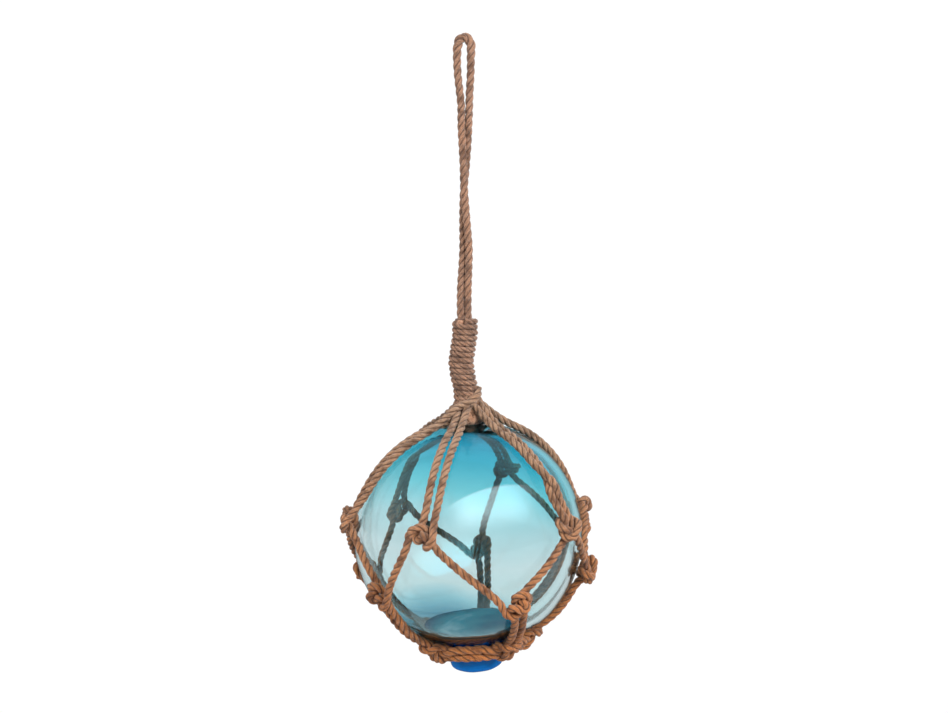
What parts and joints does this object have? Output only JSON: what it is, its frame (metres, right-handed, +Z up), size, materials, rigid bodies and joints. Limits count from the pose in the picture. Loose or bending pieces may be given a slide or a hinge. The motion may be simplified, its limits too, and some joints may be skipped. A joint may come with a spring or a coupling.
{
  "type": "glass float ball",
  "caption": "Sealed glass fishing-float ball with a glass seal, held in a knotted rope net that is whipped into a stem and hangs by the eye of a doubled cord.",
  "frame": {"origin": "inside top of the eye of the hanging cord, where a hook carries the float", "axes": "+Z up along the hanging cord; -Y is the front; +X is to the right seen from the front"},
  "size_m": [0.1142, 0.112, 0.2753],
  "materials": {
    "float_glass": "clear aqua blown glass with a deeper blue seal",
    "net_twine": "orange-brown laid jute twine",
    "whipping_twine": "paler brown jute twine, wound tight",
    "hanging_twine": "grey-brown laid jute twine"
  },
  "bodies": {
    "root": {"glass_float": "float_glass", "bottom_ring": "net_twine", "net_cord_1": "net_twine", "net_cord_2": "net_twine", "net_cord_3": "net_twine", "net_cord_4": "net_twine", "net_cord_5": "net_twine", "net_cord_6": "net_twine", "whipping": "whipping_twine", "hanging_cord": "hanging_twine"}
  },
  "joints": []
}
